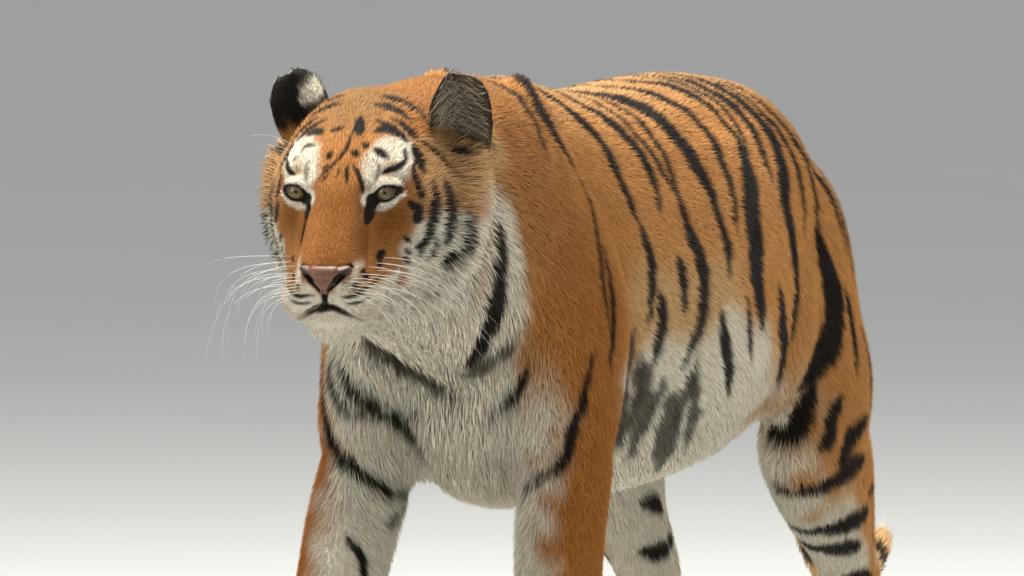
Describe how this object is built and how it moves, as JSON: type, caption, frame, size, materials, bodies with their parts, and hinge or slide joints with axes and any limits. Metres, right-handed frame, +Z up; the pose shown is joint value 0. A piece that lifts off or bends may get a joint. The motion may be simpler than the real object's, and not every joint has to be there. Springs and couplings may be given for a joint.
{
  "type": "tiger",
  "caption": "Life-size Amur tiger walking with head level and ears turned out, as a still museum model with a full striped winter coat.",
  "frame": {"origin": "on the floor under the middle of the bounding box", "axes": "+Z up; the tiger faces -Y with its tail towards +Y; +X is the tiger's left side"},
  "size_m": [0.3584, 2.0536, 0.9465],
  "materials": {
    "coat": "fur",
    "eye": "gloss",
    "nose": "satin",
    "claw": "satin"
  },
  "bodies": {
    "root": {"head": "coat", "neck": "coat", "trunk": "coat", "tail_base": "coat", "tail_tip": "coat", "ear_left": "coat", "eye_left": "eye", "fore_leg_left": "coat", "fore_paw_left": "coat", "fore_claw_left_1": "claw", "fore_claw_left_2": "claw", "fore_claw_left_3": "claw", "fore_claw_left_4": "claw", "hind_leg_left": "coat", "hind_paw_left": "coat", "hind_claw_left_1": "claw", "hind_claw_left_2": "claw", "hind_claw_left_3": "claw", "hind_claw_left_4": "claw", "ear_right": "coat", "eye_right": "eye", "fore_leg_right": "coat", "fore_paw_right": "coat", "fore_claw_right_1": "claw", "fore_claw_right_2": "claw", "fore_claw_right_3": "claw", "fore_claw_right_4": "claw", "hind_leg_right": "coat", "hind_paw_right": "coat", "hind_claw_right_1": "claw", "hind_claw_right_2": "claw", "hind_claw_right_3": "claw", "hind_claw_right_4": "claw", "nose": "nose"}
  },
  "joints": []
}
